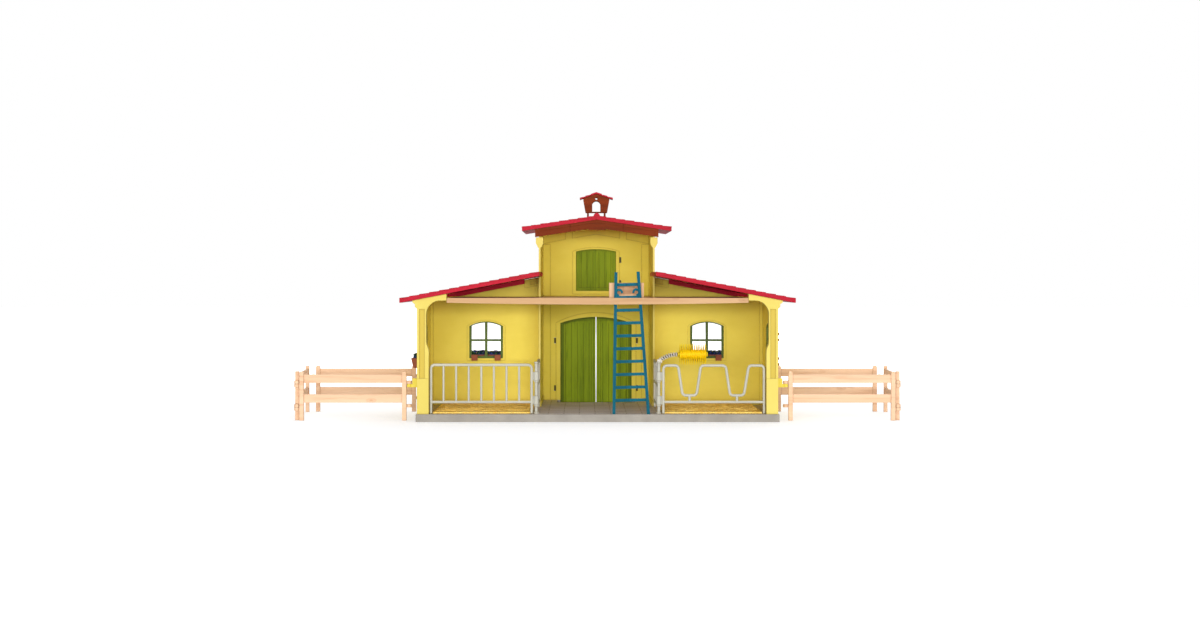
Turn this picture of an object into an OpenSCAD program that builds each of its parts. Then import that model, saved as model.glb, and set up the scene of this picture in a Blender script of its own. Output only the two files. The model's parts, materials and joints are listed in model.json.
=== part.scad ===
// Toy barn with opening doors, open play side towards -Y, facade towards +Y, +Z up.
// Millimetres. The origin lies on the underside of the base plate.

/* [Base plate] */
// Width of the base plate
base_w = 473; // [450:1:500]
// Height of the base plate
base_h = 10; // [8:0.5:12]
// Thickness of the base plate's deck above its pockets
base_t = 3; // [2:0.25:4]
// Width of the ribs under the base plate
base_rib = 3; // [2:0.5:5]
// Ledge of the base plate outside the walls
base_ledge = 1.5; // [0.5:0.25:4]
// Depth from the front edge to the stall walls
stall_d = 165; // [150:1:180]
// Depth from the stall walls to the doorway wall
bay_d = 93; // [85:1:105]
// Thickness of the straw mats
mat_t = 2; // [1:0.25:4]
// Teeth along the front edge of a straw mat
mat_teeth = 30; // [16:2:44]

/* [Walls] */
// Thickness of the walls
wall_t = 2.5; // [2:0.25:3]
// Width of the middle bay over its side walls
bay_w = 160; // [150:1:166]
// Reach of the bay's side walls in front of the stall walls
bay_reach = 35; // [25:1:45]
// Width of a front post at its foot
post_w = 15.2; // [13:0.2:18]
// Depth of a front post
post_d = 12; // [9:0.5:15]
// Height of a front post's foot block
post_foot = 56; // [48:1:66]
// Reach of the knee bracket under the roof
knee_reach = 38.3; // [32:0.5:44]
// Radius of the knee bracket's curve
knee_r = 18; // [12:0.5:20]
// Height by which window and door surrounds stand proud
trim_h = 0.8; // [0.4:0.1:1.2]
// Width of a window's surround
trim_w = 2.8; // [2:0.2:4]

/* [Windows] */
// Width of a window opening
win_w = 47; // [38:1:52]
// Height of a window's sill
win_z = 75.2; // [66:1:84]
// Height of a window's sides
win_side = 45.2; // [36:1:48]
// Rise of a window's arch
win_rise = 6.3; // [4:0.25:9]
// Distance of a stall window from the middle
win_x = 154.6; // [145:1:165]
// Distance of a side window from the front edge
win_y = 88; // [75:1:100]
// Width of a window frame's bars
bar_w = 3; // [1.6:0.2:4]
// Width of a window's upright middle bar
mullion_w = 3.6; // [2:0.2:5]
// Thickness of a window frame
frame_t = 3.7; // [3:0.1:4.5]
// Depth of a flower box
planter_d = 13; // [10:0.5:16]
// Height of a flower box
planter_h = 13; // [10:0.5:16]

/* [Doors] */
// Width of the main doorway
door_w = 106.6; // [96:1:112]
// Height of the main doorway's sides
door_side = 122.2; // [112:1:128]
// Rise of the main doorway's arch
door_rise = 10.2; // [7:0.25:12]
// Height of the door leaves above the floor
door_lift = 1.5; // [1.5:0.25:3]
// Gap between the two door leaves
leaf_gap = 2.8; // [1:0.2:5]
// Thickness of a door leaf's frame
leaf_t = 3; // [2.4:0.2:4]
// Width of the stop that a leaf closes against
stop_w = 1.4; // [0.8:0.1:2]
// Width of a door leaf's frame
leaf_rim = 5; // [4:0.5:8]
// Width of a plank in the door leaves
plank_w = 8; // [6:0.5:11]
// Width of the loft door's opening
hay_w = 61.2; // [54:1:66]
// Height of the loft door's sill
hay_z = 167.7; // [165:0.5:172]
// Height of the loft door's sides
hay_side = 58.8; // [50:1:62]
// Rise of the loft door's arch
hay_rise = 4.1; // [3:0.25:6]
// Radius of the door hinges' pins
pin_r = 1.5; // [1.2:0.1:1.7]
// Running clearance round every pin
run_gap = 0.07; // [0.04:0.01:0.1]

/* [Roofs] */
// Thickness of the roofs
roof_t = 5.8; // [4.5:0.1:7]
// Depth of the purlin under a stall roof
purlin_h = 6; // [3:0.5:8]
// Fall of the stall roofs per unit of width
wing_fall = 0.193; // [0.17:0.001:0.21]
// Height of a stall roof's inner edge
wing_z = 195.9; // [192:0.5:202]
// Distance of a stall roof's inner edge from the middle
wing_x = 76; // [72:0.5:76.5]
// Overhang of the eaves past the side walls
eave_out = 22.6; // [15:0.5:30]
// Overhang of the stall roofs behind the stall walls
roof_back = 12; // [6:1:20]
// Tile rows on a stall roof
wing_rows = 14; // [8:1:20]
// Height of the ridge of the middle roof
ridge_z = 273.8; // [268:0.5:282]
// Fall of the middle roof per unit of width
ridge_fall = 0.152; // [0.12:0.001:0.17]
// Overhang of the middle roof past the bay's walls
gable_out = 23; // [16:0.5:30]
// Tile rows on each side of the middle roof
ridge_rows = 8; // [5:1:12]
// Height of a step between tile rows
tile_step = 0.9; // [0.5:0.1:1.4]
// Radius of the ridge cap
cap_r = 4.5; // [3:0.25:6]
// Thickness of the gable truss
truss_t = 3.4; // [2.4:0.2:4]

/* [Loft] */
// Height of the loft's deck
loft_z = 161.2; // [158:0.5:162]
// Thickness of the loft's deck
deck_t = 2.2; // [1.6:0.2:3]
// Depth of the loft's front rim at its ends
rim_h = 6.2; // [5:0.2:9]
// Extra depth of the loft's front rim in the middle
rim_sag = 2.3; // [0:0.1:4]
// Width of the hatch for the ladder
hatch_w = 52; // [51:0.5:56]
// Height of the hay crate beside the hatch
crate_h = 19.8; // [14:0.2:26]

/* [Ladder] */
// Width of the ladder at its foot
ladder_w = 49; // [42:0.5:49.5]
// Width of the ladder at its top
ladder_top = 33; // [26:0.5:38]
// Length of the ladder
ladder_l = 187; // [172:1:200]
// Width of a ladder rail
rail_w = 4; // [3:0.2:5]
// Thickness of the ladder
rail_t = 3.6; // [2.6:0.2:4.6]
// Spacing of the rungs
rung_step = 16.8; // [15.6:0.1:18]
// Height of a rung
rung_h = 3.8; // [2.4:0.1:4.6]

/* [Gates] */
// Radius of a gate's tube
tube_r = 1.8; // [1.2:0.1:1.9]
// Height of the gates
gate_h = 75.6; // [68:0.2:80]
// Height of the gates' lower rail
rail_z = 25.4; // [20:0.2:30]
// Bars in the left gate
gate_bars = 7; // [5:1:11]
// Radius of a gate's bends
bend_r = 5; // [4:0.25:6]
// Radius of the posts that carry the gates
stall_post_r = 2; // [1.6:0.1:2.4]

/* [Brush] */
// Length of the brush
brush_l = 35.4; // [28:0.2:42]
// Radius of the brush over its bristles
brush_r = 14.7; // [12:0.1:16]
// Radius of the brush's core
brush_core = 6.2; // [5:0.1:8]
// Rings of bristles
brush_rings = 12; // [8:1:14]
// Bristles in a ring
brush_spokes = 26; // [20:1:28]

/* [Fences] */
// Distance between the hinges of a fence panel
panel_l = 148; // [138:1:156]
// Height of the fences
fence_h = 64.3; // [58:0.5:72]
// Width of a fence post
fence_post = 5.5; // [4:0.25:7]
// Thickness of a fence post
fence_t = 5; // [4:0.25:5.5]
// Height of a fence's rails
fence_rail = 11; // [9:0.5:13]
// Thickness of a fence's rails
fence_rail_t = 2.6; // [2:0.2:3.4]
// Splay of the end panels
fence_splay = 4; // [0:0.5:6]

/* [Hidden] */
$fn = 48;

// Clearance between pieces that sit against each other
seat = 0.3;
// Small overlap between fused forms
eps = 0.02;

// Places across the barn
half_w = base_w / 2;
side_x = half_w - base_ledge;
bay_x = bay_w / 2;
bay_in = bay_x - wall_t;
// Places along the depth
front_y = -130;
wing_y = front_y + stall_d;
door_y = wing_y + bay_d;
reach_y = wing_y - bay_reach;
post_y = front_y + 3;
gate_y = front_y + 10;
brush_y = front_y + 30;
loft_y = front_y + 4;
base_back = wing_y + wall_t + base_ledge;
bay_back = door_y + wall_t + base_ledge;

// Heights of the roofs over a place x from the middle
function wing_top(x) = wing_z - wing_fall * (x - wing_x);
function wing_under(x) = wing_top(x) - roof_t;
function ridge_top(x) = ridge_z - ridge_fall * x;
function ridge_under(x) = ridge_top(x) - roof_t;

yellow = [0.96, 0.86, 0.36];
red = [0.80, 0.07, 0.16];
peach = [0.93, 0.75, 0.58];
green = [0.42, 0.50, 0.12];
grey = [0.72, 0.74, 0.74];

// ---------- Shared forms ----------

// Lays an outline drawn in X and Z across the barn, from y to y + t
module across(y, t) {
    translate([0, y + t, 0])
        rotate([90, 0, 0])
            linear_extrude(t)
                children();
}

// Lays an outline drawn in Y and Z along the depth, from x to x + t
module along(x, t) {
    translate([x, 0, 0])
        rotate([90, 0, 90])
            linear_extrude(t)
                children();
}

module both_sides() {
    children();
    mirror([1, 0, 0])
        children();
}

// Opening with an arched head: width, foot, height of its sides and rise of its arch
module arch(w, z, side, rise) {
    r = (w * w / 4 + rise * rise) / (2 * rise);
    half = asin(w / 2 / r);
    steps = 28;
    polygon(concat(
        [[-w / 2, z], [w / 2, z]],
        [for (i = [0 : steps]) let (a = half * (1 - 2 * i / steps))
            [r * sin(a), z + side + rise - r + r * cos(a)]]
    ));
}

module win_hole(grow = 0) {
    arch(win_w + 2 * grow, win_z - grow, win_side + grow, win_rise + grow / 2);
}

module door_hole(grow = 0) {
    arch(door_w + 2 * grow, 0, door_side, door_rise + grow);
}

module hay_hole(grow = 0) {
    arch(hay_w + 2 * grow, hay_z - grow, hay_side + grow, hay_rise + grow / 2);
}

// Round tube through the points of a flat path, with bends of one radius
function turn(a, b) = atan2(a.x * b.y - a.y * b.x, a * b);
function unit(v) = v / norm(v);

module bent_tube(p, r, bend) {
    n = len(p);
    lead = [for (i = [0 : n - 1])
        i == 0 || i == n - 1 ? 0 : bend * tan(abs(turn(p[i] - p[i - 1], p[i + 1] - p[i])) / 2)];
    for (i = [0 : n - 2]) {
        u = unit(p[i + 1] - p[i]);
        translate(p[i] + u * lead[i])
            rotate([0, 0, atan2(u.y, u.x)])
                rotate([0, 90, 0])
                    cylinder(h = norm(p[i + 1] - p[i]) - lead[i] - lead[i + 1], r = r);
    }
    for (i = [1 : n - 2]) {
        u = unit(p[i] - p[i - 1]);
        a = turn(u, p[i + 1] - p[i]);
        s = sign(a);
        side = [-u.y, u.x] * s;
        start = atan2(-side.y, -side.x);
        translate(p[i] - u * lead[i] + side * bend)
            rotate([0, 0, (s > 0 ? start : start - abs(a)) - 1])
                rotate_extrude(angle = abs(a) + 2)
                    translate([bend, 0])
                        circle(r - eps);
    }
}

// Top edge of a tiled slope: each row rises towards the eaves and steps down to the next
function tiles(x0, x1, rows, top0, fall) = [for (i = [0 : rows - 1]) each [
    [x0 + (x1 - x0) * i / rows, top0 - fall * (x1 - x0) * i / rows - tile_step],
    [x0 + (x1 - x0) * (i + 1) / rows, top0 - fall * (x1 - x0) * (i + 1) / rows]
]];

// ---------- Base plate ----------

module base_plate() {
    ramp = door_w / 2 + 2.7;
    bay_edge = bay_x + base_ledge;
    cell = (half_w - 4 - base_rib / 2) / 4;
    rows = [
        [front_y + 4, -64],
        [-64 + base_rib, -base_rib / 2],
        [base_rib / 2, base_back - 4]
    ];
    color([0.70, 0.67, 0.64])
        difference() {
            linear_extrude(base_h)
                polygon([
                    [-half_w, front_y], [half_w, front_y], [half_w, base_back],
                    [bay_edge, base_back], [bay_edge, bay_back],
                    [-bay_edge, bay_back], [-bay_edge, base_back], [-half_w, base_back]
                ]);
            // Sunk ramp in front of the doors
            along(-ramp, 2 * ramp)
                polygon([
                    [door_y - 44, base_h + 1], [door_y - 44, base_h], [door_y - 4, door_lift - seat],
                    [bay_back + 1, door_lift - seat], [bay_back + 1, base_h + 1]
                ]);
            // Pockets between the ribs, with a pad left at the origin
            difference() {
                both_sides() {
                    for (i = [0 : 3], row = rows)
                        translate([base_rib / 2 + i * cell, row[0], -1])
                            cube([cell - base_rib, row[1] - row[0], base_h - base_t + 1]);
                    translate([base_rib / 2, base_back - 4 + base_rib, -1])
                        cube([bay_in - base_rib, door_y - 48 - base_back, base_h - base_t + 1]);
                }
                translate([0, 0, -2])
                    cylinder(h = base_h + 4, r = 12);
            }
            // Joints between the floor slabs of the passage
            for (i = [1 : 5])
                translate([-bay_in + 4, front_y + 14 + i * 28, base_h - 0.5])
                    cube([2 * bay_in - 8, 0.8, 1]);
        }
}

module straw_mat() {
    x0 = bay_x + 6;
    x1 = side_x - post_w - 4.6;
    pitch = (x1 - x0) / mat_teeth;
    color([0.80, 0.60, 0.20])
        translate([0, 0, base_h])
            linear_extrude(mat_t)
                polygon(concat(
                    [for (i = [0 : mat_teeth]) [x0 + i * pitch, front_y + 13.6 + (i % 2) * 2.2]],
                    [[x1, wing_y - 2], [x0, wing_y - 2]]
                ));
}

// ---------- Walls ----------

// Outline of a front post with its capital and its knee bracket
module post_outline() {
    inner = side_x - post_w;
    upper = inner + 3.4;
    knee_x = side_x - knee_reach;
    knee_z = wing_under(knee_x) - seat - 8.6;
    cap_z = wing_under(side_x + 6) - seat;
    polygon(concat(
        [[inner, base_h], [side_x, base_h], [side_x, cap_z - 11], [side_x + 2.6, cap_z - 8]],
        [[side_x + 2.6, cap_z - 5], [side_x + 6, cap_z - 2.4], [side_x + 6, cap_z]],
        [[knee_x, wing_under(knee_x) - seat], [knee_x, knee_z]],
        [for (a = [90 : -9 : 0]) [upper + knee_r * (cos(a) - 1), knee_z + knee_r * (sin(a) - 1)]],
        [[upper, 105], [upper - 0.5, 101], [upper - 2.9, 95], [inner, 91]]
    ));
}

// Lug with an upright pin that a fence panel hangs on, at its pin's place
module fence_lug(reach) {
    translate([0, 0, 44])
        cylinder(h = 4, r = 3.4);
    translate([0, 0, 44])
        cylinder(h = 8.3, r = 1.6);
    translate([-reach, -2.2, 43.6])
        cube([reach, 4.4, 4.4]);
    translate([-reach, -2.2, 43.6])
        cube([reach - 4.4, 4.4, 11.7]);
}

module side_wall() {
    top = wing_under(side_x) - seat;
    inner = side_x - post_w;
    color(yellow)
        difference() {
            union() {
                along(side_x - wall_t, wall_t)
                    translate([post_y, base_h])
                        square([wing_y + wall_t - post_y, top - base_h]);
                across(post_y, post_d)
                    post_outline();
                // Rear corner pilaster
                translate([side_x - 6, wing_y - 4, base_h])
                    cube([6, 4, top - base_h - 1]);
                // Skirting along the foot of the wall
                translate([side_x - wall_t - 1, post_y + post_d - eps, base_h])
                    cube([wall_t, wing_y - post_y - post_d, 8]);
                // Window surround, proud on both faces
                along(side_x - wall_t - trim_h, wall_t + 2 * trim_h)
                    translate([front_y + win_y, 0])
                        win_hole(trim_w);
                // Foot block of the post
                translate([inner, post_y - 0.6, base_h])
                    cube([post_w, 2, post_foot - base_h]);
                translate([side_x + 12.4, front_y + 26, 0])
                    fence_lug(12.4 + eps);
                translate([side_x + 15, wing_y + 9, 0])
                    rotate([0, 0, 30])
                        fence_lug(17.4);
            }
            along(side_x - wall_t - 2, wall_t + 4)
                translate([front_y + win_y, 0])
                    win_hole();
            // Sunk panel on the face of the post
            translate([inner + 5, post_y - 1, post_foot + 0.4])
                cube([7.4, 2, 90.4]);
        }
}

module wing_wall() {
    x0 = bay_x + seat;
    x1 = side_x - wall_t - seat;
    color(yellow)
        difference() {
            union() {
                across(wing_y, wall_t)
                    polygon([
                        [x0, base_h], [x1, base_h],
                        [x1, wing_under(x1) - seat], [x0, wing_under(x0) - seat]
                    ]);
                across(wing_y - trim_h, wall_t + 2 * trim_h)
                    translate([win_x, 0])
                        win_hole(trim_w);
                // Ledge that carries the back of the loft
                translate([x0 + 22, wing_y - 3, loft_z - deck_t - seat - 1.8])
                    cube([92, 3 + eps, 1.8]);
                // Skirting and frieze strip
                translate([x0, wing_y - 1, base_h])
                    cube([x1 - x0 - 4, 1 + eps, 7]);
                across(wing_y - 1, 1 + eps)
                    polygon([
                        [x0, wing_under(x0) - 11.2], [x0 + 20, wing_under(x0 + 20) - 11.2],
                        [x0 + 20, wing_under(x0 + 20) - 1], [x0 + 13, wing_under(x0 + 13) - 1],
                        [x0 + 13, wing_under(x0 + 13) - 8.8], [x0 + 1.6, wing_under(x0 + 1.6) - 8.8],
                        [x0 + 1.6, wing_under(x0 + 1.6) - 1], [x0, wing_under(x0) - 1]
                    ]);
            }
            across(wing_y - 2, wall_t + 4)
                translate([win_x, 0])
                    win_hole();
        }
}

// Fixed half of a door hinge: a bored ear outside the wall, at its pin's place
module hinge_ear(x, z, slot_x) {
    pin_y = door_y + wall_t + 3.5;
    ear_h = 7.3;
    difference() {
        union() {
            translate([x, pin_y, z])
                cylinder(h = ear_h, r = 3);
            translate([x - 0.6, door_y + wall_t - eps, z])
                cube([slot_x - x + 3, 3.4, ear_h]);
        }
        translate([x, pin_y, z - 1])
            cylinder(h = ear_h + 2, r = pin_r + run_gap);
    }
}

door_ears = [base_h + 0.1121 * door_side, base_h + 0.6792 * door_side];
hay_ears = [hay_z + 0.153 * hay_side, hay_z + 0.728 * hay_side];
// A point at a depth under the middle roof
function below(x, depth) = [x, ridge_under(abs(x)) - depth];

module bay_shell() {
    wall_top = ridge_under(bay_x) - seat;
    mid = bay_in * 0.45;
    color(yellow)
        difference() {
            union() {
                across(door_y, wall_t)
                    polygon([
                        [-bay_x, base_h], [bay_x, base_h], [bay_x, wall_top],
                        [0, ridge_under(0) - seat], [-bay_x, wall_top]
                    ]);
                both_sides() {
                    // Side wall, capital and corner pilaster
                    translate([bay_in, reach_y, base_h])
                        cube([wall_t, door_y - reach_y + eps, wall_top - base_h]);
                    across(reach_y, 7)
                        polygon([
                            [bay_in, wall_top - 26.54], [bay_in + eps, wall_top - 26.54],
                            [bay_in + eps, wall_top - 12], [bay_in - 3.5, wall_top - 12],
                            [bay_in - 3.5, wall_top - 20], [bay_in - 1.5, wall_top - 25]
                        ]);
                    across(reach_y, 7)
                        polygon([
                            [bay_x - eps, wall_top - 27], [bay_x, wall_top - 27],
                            [bay_x + 1.5, wall_top - 25], [bay_x + 4, wall_top - 20],
                            [bay_x + 4, wall_top - 12], [bay_x - eps, wall_top - 12]
                        ]);
                    translate([bay_in - 10.5, door_y - 1, base_h])
                        cube([10.5 + eps, 1 + eps, wall_top - base_h - 19]);
                    // Skirting
                    translate([bay_in - 1, reach_y + 0.6, base_h])
                        cube([1 + eps, door_y - reach_y, 7]);
                }
                // Surrounds of the two doorways, proud on both faces
                intersection() {
                    across(door_y - trim_h, wall_t + 2 * trim_h)
                        door_hole(4.6);
                    translate([-100, door_y - 10, base_h])
                        cube([200, 20, 200]);
                }
                across(door_y - trim_h, wall_t + 2 * trim_h)
                    hay_hole(3);
                // Ledge that carries the back of the loft
                translate([-bay_in, door_y - 4, loft_z - deck_t - seat - 1.8])
                    cube([2 * bay_in, 4 + eps, 1.8]);
                for (z = door_ears) {
                    hinge_ear(door_w / 2 + 3, z, door_w / 2 + 6.5);
                    mirror([1, 0, 0])
                        hinge_ear(door_w / 2 + 3, z, door_w / 2 + 6.5);
                }
                for (z = hay_ears)
                    hinge_ear(hay_w / 2 + 3, z, hay_w / 2 + 4.8);
            }
            across(door_y + 0.3, wall_t + 2)
                door_hole();
            across(door_y + 0.3, wall_t + 2)
                hay_hole();
            // The leaves close against a stop round the inside of each doorway
            across(door_y - 3, wall_t + 4)
                door_hole(-stop_w);
            across(door_y - 3, wall_t + 4)
                hay_hole(-stop_w);
            // Sunk panels of the frieze under the gable
            across(door_y - eps, 0.8)
                polygon([
                    below(-mid, 17.2), below(0, 16.7), below(mid, 17.2),
                    below(mid, 3.7), below(0, 3.6), below(-mid, 3.7)
                ]);
            both_sides()
                across(door_y - 1, 1.8)
                    polygon([
                        below(mid + 9, 17.3), below(bay_in - eps, 18.8),
                        below(bay_in - eps, 2.4), below(mid + 9, 3.3)
                    ]);
            // Slots behind the ears
            both_sides()
                for (z = door_ears)
                    translate([door_w / 2 + 5, door_y - 2, z - 0.5])
                        cube([2.9, wall_t + 2, 8.3]);
            for (z = hay_ears)
                translate([hay_w / 2 + 3.4, door_y - 2, z - 0.5])
                    cube([2.9, wall_t + 2, 8.3]);
        }
}

// ---------- Windows and flower boxes ----------

// These three are drawn about the middle of their window, with the wall's inner face at y = 0

module window_frame() {
    fit = 0.2;
    pane = win_w - 2 * fit;
    color([0.28, 0.38, 0.10])
        across(-trim_h, frame_t + trim_h - 0.6)
            difference() {
                win_hole(-fit);
                difference() {
                    win_hole(-fit - bar_w);
                    translate([-mullion_w / 2, win_z])
                        square([mullion_w, win_side + win_rise]);
                    translate([-pane / 2, win_z + 0.56 * win_side - bar_w / 2])
                        square([pane, bar_w]);
                }
            }
}

planter_y = wall_t + trim_h + seat;
hook_z = win_z + bar_w + 0.4;

module planter() {
    w = win_w + 2;
    top = hook_z + 1.4;
    foot = top - planter_h;
    color([0.55, 0.24, 0.16]) {
        difference() {
            along(-w / 2, w)
                polygon([
                    [planter_y, top], [planter_y, foot],
                    [planter_y + planter_d - 3, foot], [planter_y + planter_d, top]
                ]);
            along(-w / 2 + 1.5, w - 3)
                polygon([
                    [planter_y + 1.5, top + 1], [planter_y + 1.5, foot + 1.5],
                    [planter_y + planter_d - 4, foot + 1.5], [planter_y + planter_d - 1.3, top + 1]
                ]);
        }
        // Hooks over the sill
        for (s = [-1, 1])
            along(s * 16.2 - 4.2, 8.4)
                polygon([
                    [planter_y + 1.5, hook_z], [planter_y + 1.5, top], [-trim_h - 2.2, top],
                    [-trim_h - 2.2, win_z - 3.2], [-trim_h - 0.6, win_z - 3.2], [-trim_h - 0.6, hook_z]
                ]);
    }
}

module flowers() {
    w = win_w + 2 - 4;
    top = hook_z + 1.4;
    y0 = planter_y + 1.8;
    color([0.10, 0.18, 0.40]) {
        translate([-w / 2, y0, top - planter_h + 1.8])
            cube([w, planter_d - 6.4, planter_h - 1]);
        for (i = [-3 : 3], row = [0, 1])
            translate([i * w / 7.4 + (row - 0.5) * 2, y0 + 2.9 + row * (planter_d - 10), top + 2 + (i % 2) * 0.5])
                sphere(r = 3.1 - row * 0.3);
    }
}

module at_wing_window() {
    translate([win_x, wing_y, 0])
        children();
}

module at_side_window() {
    translate([side_x - wall_t, front_y + win_y, 0])
        rotate([0, 0, -90])
            children();
}

// ---------- Loft ----------

loft_x = side_x - knee_reach - 0.2;
ladder_x = 43.8;
ladder_lean = 5.5;
ladder_sway = 1.5;
ladder_y = front_y + 4.4;
// The back face of the leaning ladder at a height z
function ladder_back(z) = ladder_y + (z - base_h + 1) * tan(ladder_lean) + rail_t / 2 / cos(ladder_lean);
hatch_x = ladder_x - (loft_z - base_h) * tan(ladder_sway) + 0.4;
hatch_y = loft_y + 5;
hatch_back = ladder_back(loft_z) + 0.4;

module loft_floor() {
    n = 24;
    rim = 2.5;
    tongue = bay_in - 0.3;
    rib_h = 3.6;
    color(peach)
        difference() {
            union() {
                translate([-loft_x, loft_y, loft_z - deck_t])
                    cube([2 * loft_x, wing_y - seat - loft_y, deck_t]);
                translate([-tongue, wing_y - 2, loft_z - deck_t])
                    cube([2 * tongue, door_y - seat - trim_h - wing_y + 2, deck_t]);
                // Front rim with its shallow sag
                across(loft_y, rim)
                    polygon(concat(
                        [[loft_x, loft_z], [-loft_x, loft_z]],
                        [for (i = [0 : n]) let (u = 2 * i / n - 1)
                            [u * loft_x, loft_z - rim_h - rim_sag * (1 - u * u)]]
                    ));
                // Ribs under the deck
                for (x = [-150, -110, 0, 110, 150])
                    translate([x - 1, loft_y + 1, loft_z - deck_t - rib_h])
                        cube([2, stall_d - 14, rib_h + eps]);
                translate([-loft_x + 2, front_y + 96, loft_z - deck_t - rib_h])
                    cube([2 * loft_x - 4, 2, rib_h + eps]);
            }
            // Hatch for the ladder
            translate([hatch_x - hatch_w / 2, hatch_y, loft_z - 12])
                cube([hatch_w, hatch_back - hatch_y, 20]);
            // Slits round the bay's side walls
            both_sides()
                translate([tongue, reach_y - seat, loft_z - 12])
                    cube([bay_x + seat - tongue, bay_reach + seat + 1, 20]);
            // Joints between the boards
            for (y = [front_y + 40 : 24 : wing_y - 10])
                translate([-loft_x + 3, y, loft_z - 0.5])
                    cube([2 * loft_x - 6, 0.7, 1]);
        }
}

crate_x = hatch_x - 2;
crate_w = 45.5;

module hay_crate() {
    y0 = ladder_back(loft_z + crate_h) + 0.6;
    d = 24;
    color(peach)
        difference() {
            translate([crate_x - crate_w / 2, y0, loft_z])
                cube([crate_w, d, crate_h]);
            translate([crate_x - crate_w / 2 + 2, y0 + 2, loft_z + 2])
                cube([crate_w - 4, d - 4, crate_h]);
            // Hand hole in the front
            translate([crate_x - crate_w / 2 + 7, y0 - 1, loft_z + 4.5])
                cube([crate_w - 14, 4, crate_h - 9]);
            for (s = [-1, 1])
                translate([crate_x + s * (crate_w / 2) - 1, y0 + 5, loft_z + crate_h / 2 - 0.4])
                    cube([2, d - 10, 0.8]);
        }
}

// ---------- Roofs ----------

purlin_x0 = bay_x + 20;
purlin_x1 = side_x - 47;

module wing_roof() {
    eave = side_x + eave_out;
    y0 = front_y;
    y1 = wing_y + wall_t + roof_back;
    rib_y = reach_y + 10;
    color(red)
        difference() {
            union() {
                across(y0, y1 - y0)
                    polygon(concat(
                        tiles(wing_x, eave, wing_rows, wing_z, wing_fall),
                        [[eave, wing_under(eave)], [wing_x, wing_under(wing_x)]]
                    ));
                // Purlin under the tiles
                across(rib_y, 5)
                    polygon([
                        [purlin_x0, wing_under(purlin_x0) + eps], [purlin_x1, wing_under(purlin_x1) + eps],
                        [purlin_x1, wing_under(purlin_x1) - purlin_h],
                        [purlin_x0, wing_under(purlin_x0) - purlin_h]
                    ]);
                // Rolled edge along the eaves
                translate([eave - 1.6, y0, wing_under(eave) + 1.4])
                    rotate([-90, 0, 0])
                        cylinder(h = y1 - y0, r = 1.5);
            }
            // Notch round the bay's side wall
            translate([wing_x - 5, reach_y - seat, wing_z - 40])
                cube([bay_x + 0.4 - wing_x + 5, y1, 60]);
        }
}

tower_x = bay_x + gable_out;
tower_y0 = reach_y - 5;
tower_y1 = door_y + wall_t + 24;

module tower_roof() {
    slope = tiles(0, tower_x, ridge_rows, ridge_z, ridge_fall);
    color(red)
        union() {
            across(tower_y0, tower_y1 - tower_y0)
                polygon(concat(
                    slope,
                    [[tower_x, ridge_under(tower_x)], [0, ridge_under(0)]],
                    [[-tower_x, ridge_under(tower_x)]],
                    [for (i = [len(slope) - 1 : -1 : 1]) [-slope[i].x, slope[i].y]]
                ));
            translate([0, tower_y0, ridge_z + 3.2 - cap_r])
                rotate([-90, 0, 0])
                    cylinder(h = tower_y1 - tower_y0, r = cap_r);
        }
}

module gable_truss() {
    end = bay_x + 5;
    y0 = reach_y - seat - truss_t;
    color([0.50, 0.24, 0.10])
        difference() {
            union() {
                across(y0 + 0.8, truss_t - 0.8)
                    polygon([
                        [-end, ridge_under(end) - 11.2], [-12, ridge_under(12) - 11.2],
                        [-12, ridge_under(12) - 12.5], [12, ridge_under(12) - 12.5],
                        [12, ridge_under(12) - 11.2], [end, ridge_under(end) - 11.2],
                        [end, ridge_under(end) - seat], [0, ridge_under(0) - seat],
                        [-end, ridge_under(end) - seat]
                    ]);
                // Strip under the tiles
                across(y0, truss_t)
                    polygon([
                        [-end, ridge_under(end) - 4], [0, ridge_under(0) - 4],
                        [end, ridge_under(end) - 4], [end, ridge_under(end) - seat],
                        [0, ridge_under(0) - seat], [-end, ridge_under(end) - seat]
                    ]);
                both_sides()
                    across(y0 + 0.2, truss_t - 0.2)
                        polygon([
                            [end - 5, ridge_under(end - 5) - 11.2], [end, ridge_under(end) - 11.2],
                            [end, ridge_under(end) - 1], [end - 5, ridge_under(end - 5) - 1]
                        ]);
            }
            // Joints between the boards
            both_sides()
                translate([36.3, y0 - 1, 240])
                    cube([0.7, 2.4, 40]);
        }
}

// ---------- Birdhouse ----------

bird_y = door_y - 64;
bird_d = 22;
bird_z = ridge_z + 7.9;
bird_top = bird_z + 27.8;
bird_fall = 0.338;

module birdhouse() {
    roof_in = bird_top - 2.4 - seat;
    foot = ridge_top(10.4) + 0.1;
    color([0.45, 0.22, 0.12])
        difference() {
            union() {
                across(bird_y, bird_d)
                    polygon([
                        [-15.3, bird_z - 1.2], [15.3, bird_z - 1.2], [18.5, bird_z + 16.3],
                        [18.5, roof_in - 18.5 * bird_fall], [0, roof_in],
                        [-18.5, roof_in - 18.5 * bird_fall], [-18.5, bird_z + 16.3]
                    ]);
                for (x = [-11.9, 11.9], y = [3.4, bird_d - 3.4])
                    translate([x, bird_y + y, foot])
                        cylinder(h = bird_z - foot, r = 1.3);
            }
            across(bird_y + 1.8, bird_d - 3.6)
                polygon([
                    [-13.4, bird_z], [13.4, bird_z], [16.6, bird_z + 16.3],
                    [16.6, roof_in - 2 - 16.6 * bird_fall], [0, roof_in - 2],
                    [-16.6, roof_in - 2 - 16.6 * bird_fall], [-16.6, bird_z + 16.3]
                ]);
            across(bird_y - 1, bird_d + 2) {
                arch(11.6, bird_z, 10.5, 4.8);
                translate([0, bird_z + 18.6])
                    circle(1.7);
            }
        }
}

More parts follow.
